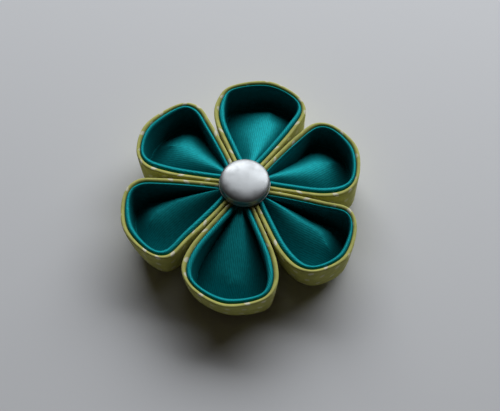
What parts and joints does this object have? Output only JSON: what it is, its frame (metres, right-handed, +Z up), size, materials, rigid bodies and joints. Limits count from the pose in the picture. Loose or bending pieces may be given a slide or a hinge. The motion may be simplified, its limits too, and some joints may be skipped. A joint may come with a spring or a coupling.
{
  "type": "kanzashi hairpin",
  "caption": "Hairpin with a flower of folded cotton and satin petals round a domed metal button, on a two-pronged fork.",
  "frame": {"origin": "on the resting surface, at the middle of the flower's outline and under the button", "axes": "+Z up through the button along the flower's axis; the fork's prongs point to -Y"},
  "size_m": [0.0634, 0.071, 0.0184],
  "materials": {
    "cotton": "plain-woven printed cotton, pressed and folded, yellow-green with small white pin dots",
    "satin": "satin-woven polyester, dark teal with a soft sheen",
    "button_metal": "satin silver plating on a pressed metal button",
    "fork_steel": "drawn nickel-plated steel wire and plate"
  },
  "bodies": {
    "root": {"outer_petal_1": "cotton", "outer_petal_2": "cotton", "outer_petal_3": "cotton", "outer_petal_4": "cotton", "outer_petal_5": "cotton", "outer_petal_6": "cotton", "inner_petal_1": "satin", "inner_petal_2": "satin", "inner_petal_3": "satin", "inner_petal_4": "satin", "inner_petal_5": "satin", "inner_petal_6": "satin", "button": "button_metal", "hair_pin": "fork_steel"}
  },
  "joints": []
}
